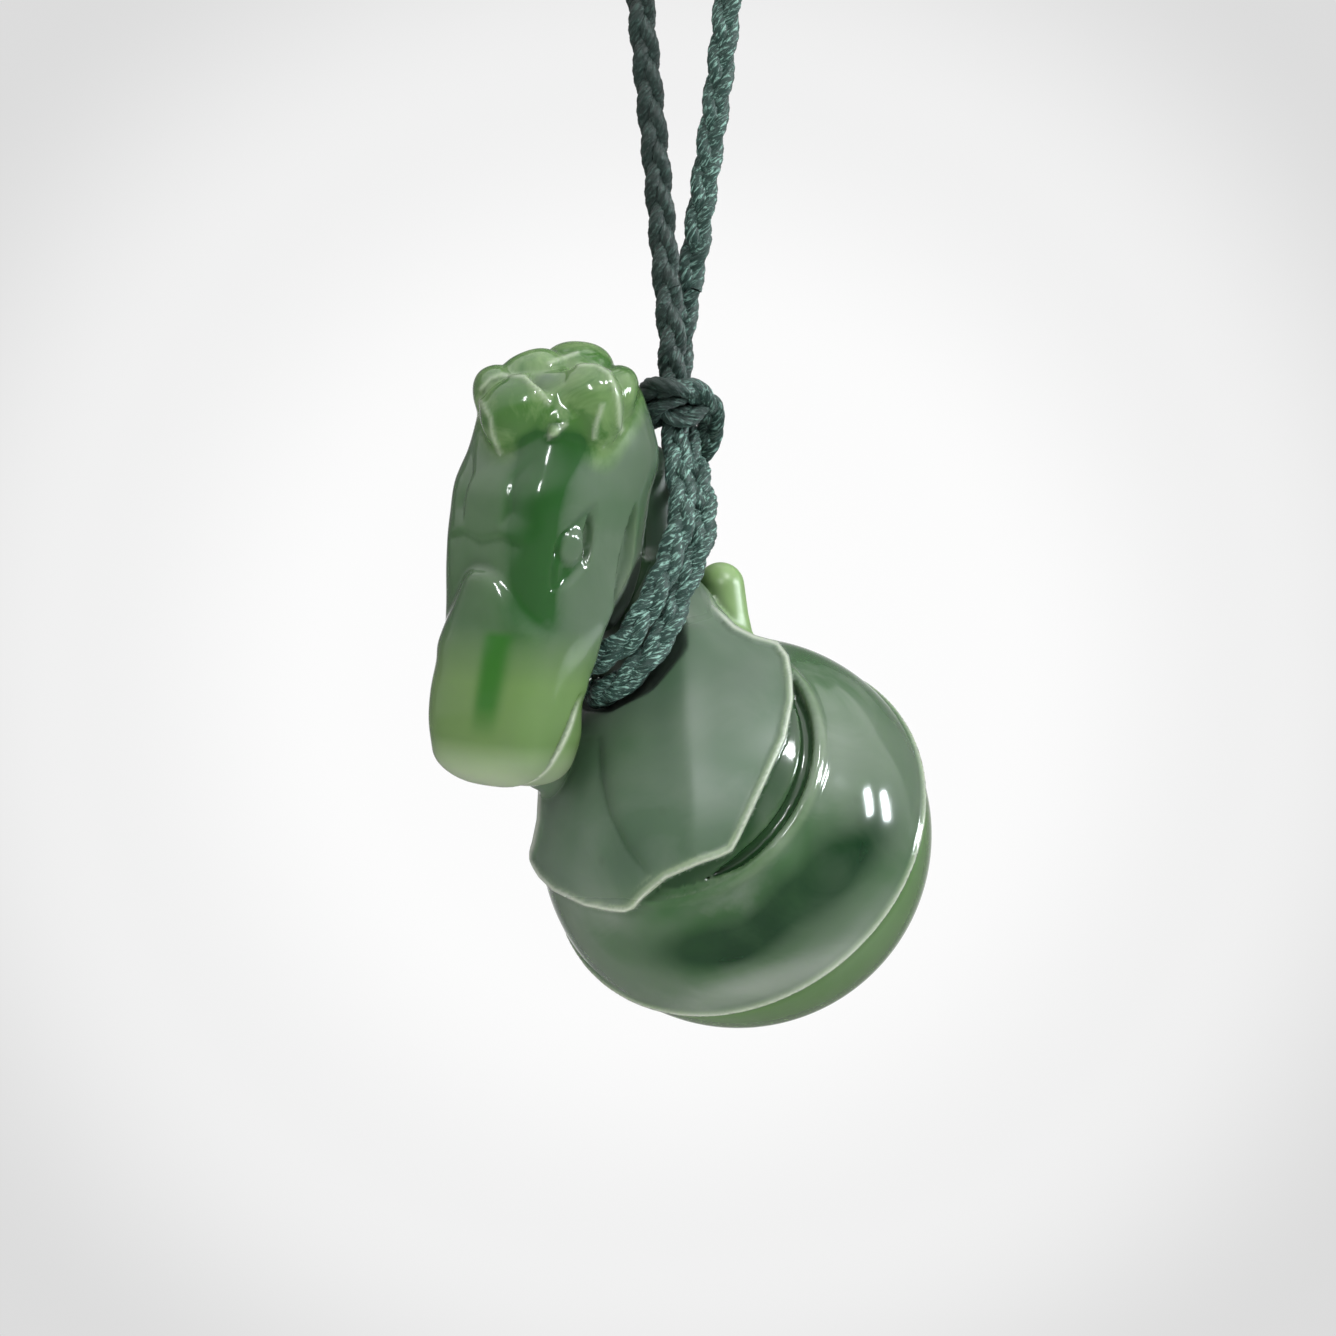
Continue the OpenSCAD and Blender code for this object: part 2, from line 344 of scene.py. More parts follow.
def add_cords():
    """The neck plait up to the bend and back, and the hitch plait round the stone, as one closed run."""
    loop_points = [PAIR_LEFT[1], PAIR_LEFT[0], *LEFT_LEG, *BEND, *RIGHT_LEG, PAIR_RIGHT[0], PAIR_RIGHT[1]]
    hitch_points = [PAIR_RIGHT[1], PAIR_RIGHT[2], *reversed(HITCH), PAIR_LEFT[2], PAIR_LEFT[1]]
    loop_line, loop_length = even_curve(loop_points, PAIR_LEFT[2], PAIR_RIGHT[2])
    hitch_line, hitch_length = even_curve(hitch_points, PAIR_RIGHT[0], PAIR_LEFT[0])
    loop_t, loop_side = carried_sides(loop_line, (1, 0, 0))
    hitch_t, hitch_side = carried_sides(hitch_line, loop_side[-1])
    hitch_side = closed_sides(hitch_t, hitch_side, loop_side[0])
    # a whole number of crossings and of threads in the closed run, so that both cuts match
    run = loop_length + hitch_length
    period = 3 * run / round(3 * run / PLAIT_PERIOD)
    twist = THREADS * run / round(THREADS * run / THREAD_TURN)
    loop = plaited_mesh("neck_plait", loop_line, loop_side, loop_t, painted_light_tint(loop_line), 0, period, twist)
    hitch = plaited_mesh("hitch_plait", hitch_line, hitch_side, hitch_t, painted_light_tint(hitch_line), loop_length,
                         period, twist)
    thread = cord_material()
    loop.data.materials.append(thread)
    hitch.data.materials.append(thread)
    knot = add_knot(thread)
    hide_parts("neck_loop", "leg_pair")
    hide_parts("hitch_cord")
    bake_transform(loop)
    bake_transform(hitch)
    print("cord lengths, mm:", round(loop_length, 1), round(hitch_length, 1))


# ---------------------------------------------------------------- the stone's field, mm

SHELL_R = 12.45
SHELL_BACK = 12.15
SHELL_C = V([3.4, 2.5, -71.2])
SHELL_AXES = V([[0.919, -0.338, 0.203], [0, 0.516, 0.857], [-0.394, -0.788, 0.474]])
HEAD_C = V([-8.7, -6.0, -51.5])
HEAD_AXES = V([[0.759, -0.643, -0.107], [-0.647, -0.762, -0.015], [0.072, -0.080, 0.994]])
THROAT_C = V([-6.0, 0, -61.5])
COLLAR_T = 1.05
LIP_R = 8.85
LIP_H = sqrt(SHELL_R ** 2 - LIP_R ** 2)
GROOVE_R, GROOVE_T = 8.3, 0.42      # the groove between lip and breast
GROOVE_BARE = radians(-8)           # the side of it that the collar leaves bare
BREAST_R, BREAST_RISE, BREAST_N = 8.4, 10.0, 4.2


def smin(a, b, k):
    h = np.clip(0.5 + 0.5 * (b - a) / k, 0, 1)
    return b + (a - b) * h - k * h * (1 - h)


def smax(a, b, k):
    return -smin(-a, -b, k)


def local(p, centre, axes):
    q = (p - centre) @ axes.T
    return q[:, 0], q[:, 1], q[:, 2]


def ball(x, y, z, c, r):
    return np.sqrt((x - c[0]) ** 2 + (y - c[1]) ** 2 + (z - c[2]) ** 2) - r


def egg(x, y, z, c, r):
    a, b, d = (x - c[0]) / r[0], (y - c[1]) / r[1], (z - c[2]) / r[2]
    k0 = np.sqrt(a * a + b * b + d * d) + 1e-9
    k1 = np.sqrt((a / r[0]) ** 2 + (b / r[1]) ** 2 + (d / r[2]) ** 2) + 1e-9
    return k0 * (k0 - 1) / k1


def ring(x, y, z, height, radius, thick):
    return np.hypot(np.hypot(x, y) - radius, z - height) - thick


def rod(x, y, z, a, b, ra, rb):
    """A round cone from a to b."""
    ax, ay, az = x - a[0], y - a[1], z - a[2]
    d = V(b, float) - V(a, float)
    t = np.clip((ax * d[0] + ay * d[1] + az * d[2]) / (d @ d), 0, 1)
    return np.sqrt((ax - t * d[0]) ** 2 + (ay - t * d[1]) ** 2 + (az - t * d[2]) ** 2) - (ra + (rb - ra) * t)


def path_rod(x, y, z, points, radii):
    d = None
    for a, b, ra, rb in zip(points, points[1:], radii, radii[1:]):
        e = rod(x, y, z, a, b, ra, rb)
        d = e if d is None else np.minimum(d, e)
    return d


def line_gap(x, y, points):
    """Distance to a drawn line in a plane, the side of it, and how far along it from 0 to 1."""
    best = np.full(x.shape, 1e9)
    side, along = np.zeros(x.shape), np.zeros(x.shape)
    n = len(points) - 1
    for i, (a, b) in enumerate(zip(points, points[1:])):
        dx, dy = b[0] - a[0], b[1] - a[1]
        t = np.clip(((x - a[0]) * dx + (y - a[1]) * dy) / (dx * dx + dy * dy), 0, 1)
        e = np.hypot(x - a[0] - t * dx, y - a[1] - t * dy)
        cross = dx * (y - a[1]) - dy * (x - a[0])
        nearer = e < best
        best = np.where(nearer, e, best)
        side = np.where(nearer, np.sign(cross), side)
        along = np.where(nearer, (i + t) / n, along)
    return best, side, along


def knots(table, column, q):
    """Cubic through one column of a table whose first column is the place."""
    xs, ys = V([k[0] for k in table], float), V([k[column] for k in table], float)
    m = np.gradient(ys, xs)
    i = np.clip(np.searchsorted(xs, q) - 1, 0, len(xs) - 2)
    h = xs[i + 1] - xs[i]
    t = np.clip((q - xs[i]) / h, 0, 1)
    return ((1 + 2 * t) * (1 - t) ** 2 * ys[i] + t * (1 - t) ** 2 * h * m[i]
            + t * t * (3 - 2 * t) * ys[i + 1] + t * t * (t - 1) * h * m[i + 1])


def superellipse(x, y, a, b, n):
    k = (np.abs(x / a) ** n + np.abs(y / b) ** n + 1e-12) ** (1.0 / n)
    return (k - 1) * np.minimum(a, b)


def shell(p):
    """Two domes that meet at a crisp rim, with a round lipped opening that the breast fills."""
    x, y, z = local(p, SHELL_C, SHELL_AXES)
    rr = np.hypot(x, y)
    near = smax(np.sqrt(rr ** 2 + z * z) - SHELL_R, -z - 0.25, 0.12)
    far = egg(x, y, z, (0, 0, 0), (SHELL_R - 0.3, SHELL_R - 0.3, SHELL_BACK))
    d = smin(near, far, 0.15)
    d = smax(d, -ring(x, y, z, -0.95, SHELL_R + 0.10, 0.62), 0.3)
    d = smin(d, ring(x, y, z, -0.15, SHELL_R - 0.05, 0.26), 0.18)
    # the dome dips a little before the lip
    d = d + 0.16 * np.exp(-((rr - LIP_R - 1.5) / 0.9) ** 2) * (z > 0)
    d = smin(d, ring(x, y, z, LIP_H - 0.34, LIP_R, 0.46), 0.5)
    d = smax(d, -ring(x, y, z, LIP_H + 0.2, LIP_R + 0.12, 0.12), 0.12)
    groove = ring(x, y, z, LIP_H + 0.1, GROOVE_R, GROOVE_T)
    groove = groove + 0.55 * np.clip((5.0 - (x * cos(GROOVE_BARE) + y * sin(GROOVE_BARE))) / 4.0, 0, 1)
    d = smax(d, -groove, 0.3)
    breast = superellipse(rr, z, BREAST_R, BREAST_RISE, BREAST_N)
    return smin(d, smax(breast, -z, 0.2), 0.15)


NECK_POINTS = [(-3.2, 0.2, -49.4), (-2.5, 0.2, -56.5), (0.9, 0.2, -63.0)]
NECK_RADII = [3.0, 3.2, 4.7]

# outline of the collar, looking along +Y: X and Z
COLLAR = [
    (0.2, -53.5), (1.35, -55.1), (1.95, -56.9), (3.2, -58.1), (4.4, -58.7), (5.85, -59.1), (6.5, -60.0),
    (6.7, -61.3), (6.75, -62.7), (6.25, -65.1), (4.8, -68.2), (3.4, -71.2), (2.95, -72.0), (2.1, -72.4),
    (0.9, -72.8), (-1.1, -73.7), (-2.5, -74.9), (-3.1, -75.6), (-3.7, -75.85), (-4.5, -75.8), (-6.2, -75.5),
    (-8.2, -74.6), (-9.1, -73.8), (-9.8, -72.8), (-9.75, -72.3), (-9.5, -71.6), (-9.2, -70.2), (-9.1, -68.0),
    (-8.8, -64.0), (-5.5, -58.5), (-2.5, -54.0)]
COLLAR_FOLD = [(-5.3, -65.0), (-5.1, -67.6), (-4.6, -69.8), (-3.6, -71.8), (-2.1, -73.6)]


def outline_gap(x, y, points):
    """Distance to a closed outline, negative inside it."""
    gap = line_gap(x, y, points + points[:1])[0]
    inside = np.zeros(x.shape, bool)
    for a, b in zip(points, points[1:] + points[:1]):
        at = (b[0] - a[0]) * (y - a[1]) / (b[1] - a[1] + 1e-12) + a[0]
        inside ^= ((a[1] > y) != (b[1] > y)) & (x < at)
    return np.where(inside, -gap, gap)


def neck(x, y, z):
    return path_rod(x, y, z, NECK_POINTS, NECK_RADII)


def collar(p):
    """A scalloped sheet that lies on the shell and runs up into the neck."""
    x, y, z = local(p, SHELL_C, SHELL_AXES)
    wx, wz = p[:, 0], p[:, 2]
    r3 = np.sqrt(x * x + y * y + z * z)
    top = r3 - (SHELL_R + COLLAR_T - 0.45)
    # a soft keel down the breast
    keel = np.abs(wx - (-0.1 + 0.055 * (-60 - wz)))
    top = top - 0.85 * np.exp(-np.sqrt(keel ** 2 + 0.05) / 3.4)
    top = smin(top, neck(wx, p[:, 1], wz) - 0.1, 2.6)
    # a folded line on the left of the breast
    gap, side, along = line_gap(wx, wz, COLLAR_FOLD)
    deep = np.sin(pi * along) ** 0.5
    top = top + 0.6 * deep * np.exp(-gap / np.where(side < 0, 1.3, 0.22)) * (p[:, 1] < 0)
    edge = outline_gap(wx, wz, COLLAR)
    d = smax(top, edge, 0.22)
    # a thin raised rim along the edge
    d = smin(d, smax(np.hypot(edge + 0.22, top) - 0.16, -z, 0.1), 0.22)
    return smax(smax(d, -z + 2.0, 0.5), SHELL_R - 1.6 - r3, 0.3)


HEAD = [  # height, forward shift, half width, half depth
    (-17.2, 1.9, 3.0, 2.4), (-15.4, 2.0, 3.75, 3.1), (-13.5, 2.2, 4.2, 3.85), (-11.2, 2.3, 4.28, 3.98),
    (-9.3, 1.9, 4.3, 3.95), (-8.0, 1.3, 4.35, 4.1), (-6.0, 0.45, 4.48, 5.0), (-3.0, -0.1, 4.6, 5.9),
    (0.0, -0.25, 4.65, 6.05), (2.0, -0.5, 4.6, 6.1), (4.0, -1.3, 4.5, 5.9), (6.0, -1.25, 4.3, 5.3),
    (8.0, -0.9, 4.0, 4.6), (10.5, -1.0, 3.2, 3.6)]
BILL = [  # height, front face, half width, shift toward the left cheek
    (-17.0, 4.6, 3.2, 0), (-15.6, 5.6, 3.9, 0), (-13.4, 6.3, 4.2, 0), (-11.0, 6.5, 4.2, 0),
    (-9.3, 6.55, 4.1, 0.05), (-8.0, 6.55, 4.15, 0.1), (-7.1, 6.5, 4.0, 0.25), (-5.5, 6.55, 3.2, 0.4),
    (-4.2, 6.55, 2.5, 0.45), (-3.5, 6.5, 2.0, 0.45), (-3.0, 6.4, 1.6, 0.45)]
LOCK = [(2.1, 6.5), (2.5, 4.0), (1.7, 2.6), (1.9, 0.6), (1.5, -0.6)]      # side and height on the face
BROW = [(0.0, -1.5), (1.6, -1.1), (3.2, -1.6)]


def almond(a, b, tip_a, tip_b, half):
    """Inside distance of a lens between two tips."""
    dx, dy = tip_b[0] - tip_a[0], tip_b[1] - tip_a[1]
    length = sqrt(dx * dx + dy * dy)
    mx, my = (tip_a[0] + tip_b[0]) / 2, (tip_a[1] + tip_b[1]) / 2
    u = ((a - mx) * dx + (b - my) * dy) / length
    v = (-(a - mx) * dy + (b - my) * dx) / length
    r = (length ** 2 / 4 + half ** 2) / (2 * half)
    return np.maximum(np.hypot(u, v - (r - half)), np.hypot(u, v + (r - half))) - r


def cheek_relief(s, f, u):
    """How far the carving is cut in, on both sides of the head: the eye and the fold behind it."""
    out = np.clip(np.abs(s) - 2.6, 0, 1)
    lids = almond(f, u, (0.5, 1.15), (3.45, -3.9), 1.2)
    disc = np.hypot((f - 2.35) / 1.2, (u + 1.35) / 1.15) - 1
    inside = np.clip(-lids / 0.25, 0, 1)
    socket = 0.34 * inside * np.clip((disc * 1.05 + 0.05) / 0.2, 0, 1) * np.clip((3.4 - f) / 0.8, 0.25, 1)
    line = 0.12 * np.exp(-(lids / 0.2) ** 2) + 0.14 * np.exp(-((disc + 0.08) / 0.13) ** 2)
    slot = 0.45 * np.clip(-almond(f, u, (0.75, 0.9), (0.95, -2.6), 0.42) / 0.2, 0, 1)
    dome = -0.06 * np.clip(1 - (disc + 1) ** 2, 0, 1)
    fold = almond(f, u, (-3.4, 1.6), (-2.2, -5.8), 0.75)
    ear = 0.55 * np.clip(-fold / 0.5, 0, 1)
    return out * (0.7 * socket + line + slot + dome + ear)


def face_relief(s, f, u):
    """Cuts on the front of the face: locks that fall from the crest, and the brow."""
    front = np.clip((f - 4.0) / 1.0, 0, 1)
    m = np.abs(s)
    lock, side, along = line_gap(m, u, LOCK)
    cut = 0.28 * np.exp(-lock / np.where(side > 0, 0.9, 0.2)) * np.clip(4 * (1 - along), 0, 1)
    brow, side, along = line_gap(m, u, BROW)
    cut = cut + 0.16 * np.exp(-brow / np.where(side < 0, 1.1, 0.2)) * np.clip(4 * (1 - along), 0, 1)
    return front * cut


def mouth_line(f, u):
    """How far in front of the line between the two bills."""
    return f - (0.35 + 0.5 * np.clip(-u - 11, -2, 6))


def head(p):
    s, f, u = local(p, HEAD_C, HEAD_AXES)
    shift, width, depth = knots(HEAD, 1, u), knots(HEAD, 2, u), knots(HEAD, 3, u)
    d = superellipse(s, f - shift, width, depth, np.where(f < shift, 3.8, 3.1))
    d = smax(d, u - 9.4, 1.6)
    d = smax(d, -(u + 16.6), 1.8)
    front, wide = knots(BILL, 1, u), knots(BILL, 2, u)
    back = -1.0 + np.clip((-u - 9) / 7.5, 0, 1) * 1.6
    bill = superellipse(s - knots(BILL, 3, u), f - (front + back) / 2, wide, (front - back) / 2, 2.4)
    bill = smax(bill, -(u + 16.5), 1.9)
    bill = smax(bill, u + 2.9, 0.9)
    d = d + face_relief(s, f, u) * (d > -1.5)
    d = smin(d, bill, 0.28)
    d = d + cheek_relief(s, f, u) * (d > -1.5)
    # the mouth line, and the lower bill set back from it
    mouth = mouth_line(f, u)
    low = np.clip((-u - 10.3) / 0.8, 0, 1)
    set_back = 0.28 * np.clip(-mouth / 0.25, 0, 1) * np.exp(np.minimum(mouth, 0) / 1.6)
    return d + low * (0.42 * np.exp(-(mouth / 0.2) ** 2) + set_back)


CREST = [  # middle, half sizes, and turns about Y and about X in degrees
    ((-9.95, -9.4, -45.2), (2.6, 2.0, 2.45), 20, -30),
    ((-6.1, -9.0, -45.0), (2.3, 1.95, 3.0), -14, -25),
    ((-6.6, -5.8, -42.5), (2.3, 2.6, 1.75), -4, -25),
    ((-9.3, -7.2, -43.0), (2.3, 2.0, 1.75), 22, -30),
    ((-11.3, -7.6, -44.3), (1.6, 2.0, 2.3), 20, -20),
    ((-4.4, -6.6, -44.3), (1.4, 2.2, 2.3), -20, -20)]
CREST_N = 2.3       # how full a leaf's rounding is
CREST_BEADS = [  # middle and radius
    ((-8.3, -10.3, -44.1), 0.30), ((-8.05, -10.6, -44.8), 0.32), ((-7.75, -10.9, -45.5), 0.34),
    ((-8.0, -11.2, -46.2), 0.34)]
CREST_RIDGES = [  # light folds on the front of the leaves: X and Z
    [(-12.5, -43.6), (-11.9, -42.95), (-11.2, -42.7), (-9.8, -42.8), (-8.9, -43.7), (-8.3, -44.5)],
    [(-12.6, -44.3), (-11.9, -45.4), (-11.8, -46.4), (-11.3, -47.7), (-10.8, -48.4)],
    [(-9.6, -47.8), (-8.8, -46.9), (-8.0, -46.4), (-7.3, -45.8)],
    [(-6.5, -42.1), (-5.4, -42.1), (-4.6, -42.6), (-4.2, -43.6), (-4.0, -44.6), (-3.95, -45.7),
     (-3.65, -46.9)],
    [(-5.0, -44.6), (-5.4, -45.8), (-5.5, -46.6)],
    [(-8.3, -42.0), (-7.4, -41.6), (-6.6, -41.3)]]


def crest(p):
    """A rosette of folded leaves with a hollow in its middle."""
    x, y, z = p[:, 0], p[:, 1], p[:, 2]
    d = None
    for c, r, tilt, lean in CREST:
        t, q = radians(tilt), radians(lean)
        dx, dy, dz = x - c[0], y - c[1], z - c[2]
        a, e = dx * cos(t) + dz * sin(t), -dx * sin(t) + dz * cos(t)
        b, e = dy * cos(q) - e * sin(q), dy * sin(q) + e * cos(q)
        k = (np.abs(a / r[0]) ** CREST_N + np.abs(b / r[1]) ** CREST_N + np.abs(e / r[2]) ** CREST_N + 1e-9)
        leaf = (k ** (1 / CREST_N) - 1) * min(r)
        d = leaf if d is None else smin(d, leaf, 0.2)
    # the mass under the leaves
    d = smin(d, egg(x, y, z, (-7.9, -7.0, -45.6), (3.9, 4.2, 2.6)), 0.2)
    d = smax(d, -ball(x, y, z, (-8.45, -10.2, -42.9), 1.2), 0.25)
    for c, r in CREST_BEADS:
        d = smin(d, ball(x, y, z, c, r), 0.15)
    return d - 0.11 * crest_ridge(p, 0.22)


def crest_ridge(p, wide):
    """1 on the folds drawn on the front of the crest, fading away from them."""
    gap = np.min([line_gap(p[:, 0], p[:, 2], ridge)[0] for ridge in CREST_RIDGES], axis=0)
    return np.exp(-(gap / wide) ** 2) * np.clip((-5.5 - p[:, 1]) / 1.0, 0, 1)


LOBE_POINTS = [(2.3, 3.0, -55.6), (2.45, 3.1, -57.6), (2.9, 3.2, -60.5)]
LOBE_RADII = [1.5, 1.62, 1.8]


def lobe(x, y, z):
    """The small horn behind the neck."""
    return path_rod(x, y, z, LOBE_POINTS, LOBE_RADII)


CHIN = ((-9.4, -2.6, -60.4), (-8.6, -2.4, -66.5), 1.7, 1.9)     # the stone from the throat to the breast
THROAT_RUNS = ((4, 18), (25, 39))     # stretches of the hitch that pass the stone
CORD_PLAY = 0.15
FLARE = {True: 0.24, False: 0.16}     # how fast each mouth widens: behind the neck, and before it
WEB = ((-5.6, -1.6, -61.3), (-5.6, 1.6, -61.3), 0.22, 0.22)     # stone left between the two passes


def throat_hole(x, y, z):
    """The cord's way through under the head: a channel along each of the two passes."""
    hole = None
    for first, last in THROAT_RUNS:
        points = HITCH[first:last]
        radii = [CORD_D / 2 + CORD_PLAY + FLARE[q[1] > 0] * max(abs(q[1]) - 2.5, 0) for q in points]
        way = path_rod(x, y, z, points, radii)
        hole = way if hole is None else smin(hole, way, 0.08)
    return hole


def carving(p):
    """Distance to the whole stone, negative inside it."""
    x, y, z = p.T
    d = shell(p)
    d = smin(d, collar(p), 0.1)
    d = smin(d, neck(x, y, z), 0.8)
    d = smin(d, lobe(x, y, z), 0.25)
    d = smin(d, rod(x, y, z, *CHIN), 0.8)
    d = smin(d, head(p), 0.4)
    d = smin(d, crest(p), 0.3)
    d = smax(d, -throat_hole(x, y, z), 0.2)
    return smin(d, rod(x, y, z, *WEB), 0.05)


# ---------------------------------------------------------------- meshing the field

GRID_STEP = 0.21
GRID_LOW = V([-17.2, -14.6, -84.8])
GRID_HIGH = V([16.9, 16.2, -39.0])
BLOCK = 4               # grid steps along a block
BATCH = 3000            # blocks worked out at a time


def sampled_field():
    """The field on a fine grid, worked out only in the blocks that its surface passes through."""
    step = GRID_STEP * 1
    n = (np.ceil((GRID_HIGH - GRID_LOW) / step / BLOCK).astype(int) + 1) * BLOCK
    coarse = n // BLOCK + 1
    axes = [GRID_LOW[i] + np.arange(coarse[i]) * step * BLOCK for i in range(3)]
    places = np.stack(np.meshgrid(*axes, indexing="ij"), -1).reshape(-1, 3)
    rough = carving(places).reshape(coarse)
    corners = [rough[i:coarse[0] - 1 + i, j:coarse[1] - 1 + j, k:coarse[2] - 1 + k]
               for i in (0, 1) for j in (0, 1) for k in (0, 1)]
    near = np.min(np.abs(corners), axis=0) < step * BLOCK * 1.9
    fine = np.repeat(np.repeat(np.repeat(rough[:-1, :-1, :-1], BLOCK, 0), BLOCK, 1), BLOCK, 2)
    blocks = np.argwhere(near)
    inside = np.stack(np.meshgrid(*[np.arange(BLOCK)] * 3, indexing="ij"), -1).reshape(-1, 3)
    for start in range(0, len(blocks), BATCH):
        at = (blocks[start:start + BATCH, None, :] * BLOCK + inside[None]).reshape(-1, 3)
        fine[at[:, 0], at[:, 1], at[:, 2]] = carving(GRID_LOW + at * step)
    return fine, step


def crossed_places(field, cells):
    """The middle of the places where the surface crosses each cell's edges, in cells from its low corner."""
    total, hits = np.zeros((len(cells), 3)), np.zeros(len(cells))
    for axis in range(3):
        others = [a for a in range(3) if a != axis]
        for i in (0, 1):
            for j in (0, 1):
                start = np.zeros(3, int)
                start[others[0]], start[others[1]] = i, j
                end = start.copy()
                end[axis] = 1
                fa, fb = field[tuple((cells + start).T)], field[tuple((cells + end).T)]
                cut = (fa < 0) != (fb < 0)
                t = np.where(cut, fa / np.where(cut, fa - fb, 1), 0)
                total += (start + t[:, None] * (end - start)) * cut[:, None]
                hits += cut
    return total / hits[:, None]


def edge_quads(inside, index, axis):
    """A quad round each grid edge along one axis that the surface cuts."""
    low = [slice(1, None)] * 3
    low[axis] = slice(0, -1)
    shift = np.ones(3, int)
    shift[axis] = 0
    at = np.argwhere(inside[tuple(low)] != inside[1:, 1:, 1:]) + shift
    goes_out = inside[tuple(at.T)]
    b, c = [a for a in range(3) if a != axis]
    corners = []
    for db, dc in ((-1, -1), (0, -1), (0, 0), (-1, 0)):
        q = at.copy()
        q[:, b] += db
        q[:, c] += dc
        corners.append(index[tuple(q.T)])
    quad = np.stack(corners, -1)
    if axis == 1:
        goes_out = ~goes_out
    return np.where(goes_out[:, None], quad, quad[:, ::-1])


def surface_net(field, step):
    """One vertex in each cell that the surface crosses, and a quad round each grid edge that it cuts."""
    nx, ny, nz = field.shape
    inside = field < 0
    count = sum(inside[i:nx - 1 + i, j:ny - 1 + j, k:nz - 1 + k].astype(np.int8)
                for i in (0, 1) for j in (0, 1) for k in (0, 1))
    cells = np.argwhere((count > 0) & (count < 8))
    index = np.full((nx - 1, ny - 1, nz - 1), -1, np.int32)
    index[tuple(cells.T)] = np.arange(len(cells))
    verts = GRID_LOW + (cells + crossed_places(field, cells)) * step
    return verts, np.vstack([edge_quads(inside, index, axis) for axis in range(3)])


def slope(p, reach=0.05):
    """The way that the field grows, which is straight out of the stone."""
    g = np.stack([carving(p + e) - carving(p - e) for e in np.eye(3) * reach], -1)
    return g / (2 * reach)


def settled(verts, step):
    """Vertices moved onto the surface itself."""
    start = verts.copy()
    for _ in range(3):
        g = slope(verts)
        size = np.maximum(np.linalg.norm(g, axis=1), 0.3)
        verts = verts - g * (carving(verts) / size ** 2)[:, None] * 0.9
        away = verts - start
        far = np.maximum(np.linalg.norm(away, axis=1) / (0.6 * step), 1)
        verts = start + away / far[:, None]
    return verts


# Some of these are the stone's own clouds, and some are painted light: dark and pale painted reflections on
# the ball, painted shade on the neck, under the head, beside the keel and in the fold, and a painted sheen
# down the keel.
CLOUDS_AND_PAINTED_LIGHT = [  # middle, half sizes, turn in the XZ plane in degrees, and how dark (below 0) or light
    ((8.7, -8.4, -73.6), (3.9, 3.2, 2.0), 38, -1.6), ((1.9, -7.7, -78.0), (3.6, 3.2, 1.4), 10, -1.5),
    ((5.5, -9.0, -76.0), (2.6, 3.0, 0.9), 40, -0.8), ((12.0, -6.0, -70.5), (1.4, 4.0, 2.2), 0, -0.5),
    ((-4.2, -5.5, -77.2), (3.0, 4.0, 1.2), -35, -0.4), ((9.4, -7.4, -65.5), (2.6, 4.5, 4.0), -30, 0.3),
    ((6.0, -10.0, -71.5), (1.0, 3.0, 3.2), 30, 0.4), ((5.0, -5.0, -80.3), (7.5, 5.0, 1.1), 20, 1.0),
    ((0.6, -9.0, -62.5), (1.0, 4.0, 5.5), 3, 0.7), ((-1.5, -9.0, -62.5), (0.8, 4.0, 4.0), 6, -0.4),
    ((-6.5, -9.0, -71.5), (2.0, 4.0, 2.6), -20, 0.35), ((-3.6, -9.0, -72.2), (1.4, 4.0, 2.4), -25, -0.5),
    ((-3.0, -6.0, -57.5), (1.4, 4.0, 4.5), 15, 0.3), ((-1.9, -1.5, -51.5), (1.7, 3.5, 5.5), 0, -1.2),
    ((-13.2, -8.5, -51.0), (1.3, 4.0, 4.0), 0, 0.3), ((-5.5, -8.5, -49.0), (1.8, 4.0, 2.2), 0, 0.3),
    ((4.2, -8.0, -60.5), (1.5, 4.0, 2.0), 20, -0.3), ((-7.3, -9.0, -67.5), (1.8, 4.0, 5.0), 0, -0.4),
    ((11.5, -4.0, -76.5), (1.2, 4.0, 3.5), -40, 0.5), ((-5.8, -4.0, -75.0), (1.6, 6.0, 3.4), 45, 0.9)]


def clouds_and_painted_light(p):
    """Soft dark and light clouds in the stone, with painted reflections, painted shade and painted sheen
    among them.
    """
    shade = np.zeros(len(p))
    for c, r, turn, strength in CLOUDS_AND_PAINTED_LIGHT:
        t = radians(turn)
        dx, dy, dz = (p - V(c)).T
        a, b = dx * cos(t) + dz * sin(t), -dx * sin(t) + dz * cos(t)
        shade += strength * np.exp(-((a / r[0]) ** 2 + (dy / r[1]) ** 2 + (b / r[2]) ** 2))
    return np.clip(shade, -1, 1)


def head_marks(p):
    """The coloured zones of the head, a painted reflection at the lower end of the bill, and the pale line
    along the mouth, which is painted light.
    """
    s, f, u = local(p, HEAD_C, HEAD_AXES)
    is_head = np.clip(1 - (head(p) - 0.1) / 0.5, 0, 1)
    band = np.clip((s - 1.7 + 0.12 * (u + 6)) / 1.3, 0, 1) * np.clip((4.55 - s) / 0.35, 0, 1) \
        * np.clip((6.8 - u) / 1.5, 0, 1) * np.clip((u + 8.4) / 3, 0, 1) * (f > 1)
    stripe = np.exp(-((s - 2.1 - 0.1 * (u + 9)) / 0.85) ** 4) * np.clip((-6.6 - u) / 0.5, 0, 1) \
        * np.clip((u + 13.5) / 2.2, 0, 1) * (f > 2)
    lips = np.exp(-((mouth_line(f, u) + 0.4) / 0.2) ** 2) * is_head * np.clip((-u - 10.5) / 1.5, 0, 1)
    return {"head": is_head, "tip": np.clip((-u - 13.6) / 2.6, 0, 1) * is_head,
            "band": band * is_head, "stripe": stripe * is_head,
            "bill": np.clip((-u - 6.5) / 3.5, 0, 1) * is_head,
            "face": np.clip((f - 3.5) / 1.5, 0, 1) * is_head}, lips


